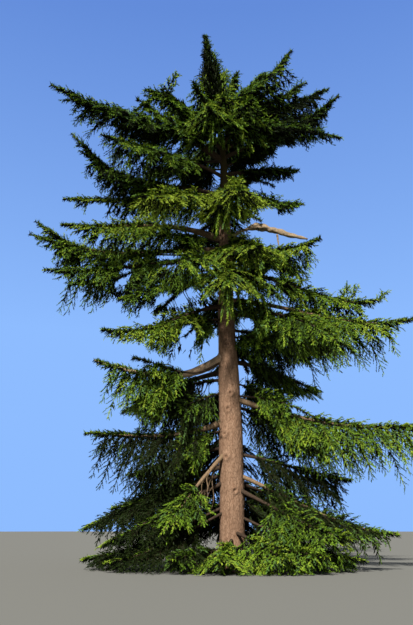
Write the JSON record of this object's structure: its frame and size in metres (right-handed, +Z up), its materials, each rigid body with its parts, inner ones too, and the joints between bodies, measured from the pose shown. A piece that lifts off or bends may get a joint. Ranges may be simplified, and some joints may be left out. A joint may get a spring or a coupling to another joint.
{
  "type": "atlas cedar tree",
  "caption": "Tall rooted conifer with a straight tapering trunk, long level boughs in open tiers, drooping masses of needle foliage and a bare broken limb.",
  "frame": {"origin": "centre of the flat cut under the trunk, at ground level", "axes": "+Z up along the trunk; +X to the right and +Y away from the viewer in the pictured view"},
  "size_m": [18.0358, 12.7829, 28],
  "materials": {
    "bark": "rough, fissured bark",
    "bleached_wood": "dry, weathered bare wood",
    "needles": "matte evergreen needles"
  },
  "bodies": {
    "root": {"trunk": "bark", "broken_limb": "bleached_wood", "left_high_middle_bough": "bark", "left_longest_middle_bough": "bark", "left_lower_bough": "bark", "left_lowest_bough": "bark", "left_thick_lower_bough": "bark", "right_high_middle_bough": "bark", "right_longest_middle_bough": "bark", "right_lower_bough": "bark", "right_lowest_bough": "bark", "back_left_lower_foliage": "needles", "back_left_lowest_foliage": "needles", "back_left_middle_foliage": "needles", "back_left_top_foliage": "needles", "back_lower_foliage": "needles", "back_right_lower_foliage": "needles", "back_right_lowest_foliage": "needles", "back_right_middle_foliage": "needles", "back_right_top_foliage": "needles", "back_upper_foliage": "needles", "front_left_lower_foliage": "needles", "front_left_lowest_foliage": "needles", "front_left_middle_foliage": "needles", "front_left_top_foliage": "needles", "front_left_upper_foliage": "needles", "front_lowest_foliage": "needles", "front_middle_foliage": "needles", "front_right_lowest_foliage": "needles", "front_right_middle_foliage": "needles", "front_right_top_foliage": "needles", "front_upper_foliage": "needles", "left_arched_top_foliage": "needles", "left_flat_upper_foliage": "needles", "left_ground_foliage": "needles", "left_high_middle_foliage": "needles", "left_inner_upper_foliage": "needles", "left_longest_middle_foliage": "needles", "left_longest_top_foliage": "needles", "left_low_middle_foliage": "needles", "left_lower_foliage": "needles", "left_lowest_foliage": "needles", "left_second_top_foliage": "needles", "left_thick_lower_foliage": "needles", "left_upturned_foliage": "needles", "right_back_middle_foliage": "needles", "right_back_top_foliage": "needles", "right_comb_upper_foliage": "needles", "right_drooping_top_foliage": "needles", "right_flat_upper_foliage": "needles", "right_high_middle_foliage": "needles", "right_long_top_foliage": "needles", "right_longest_middle_foliage": "needles", "right_lower_foliage": "needles", "right_lowest_foliage": "needles", "right_middle_top_foliage": "needles", "right_rising_top_foliage": "needles", "right_under_top_foliage": "needles", "right_weeping_foliage": "needles", "top_spire_foliage": "needles"}
  },
  "joints": []
}
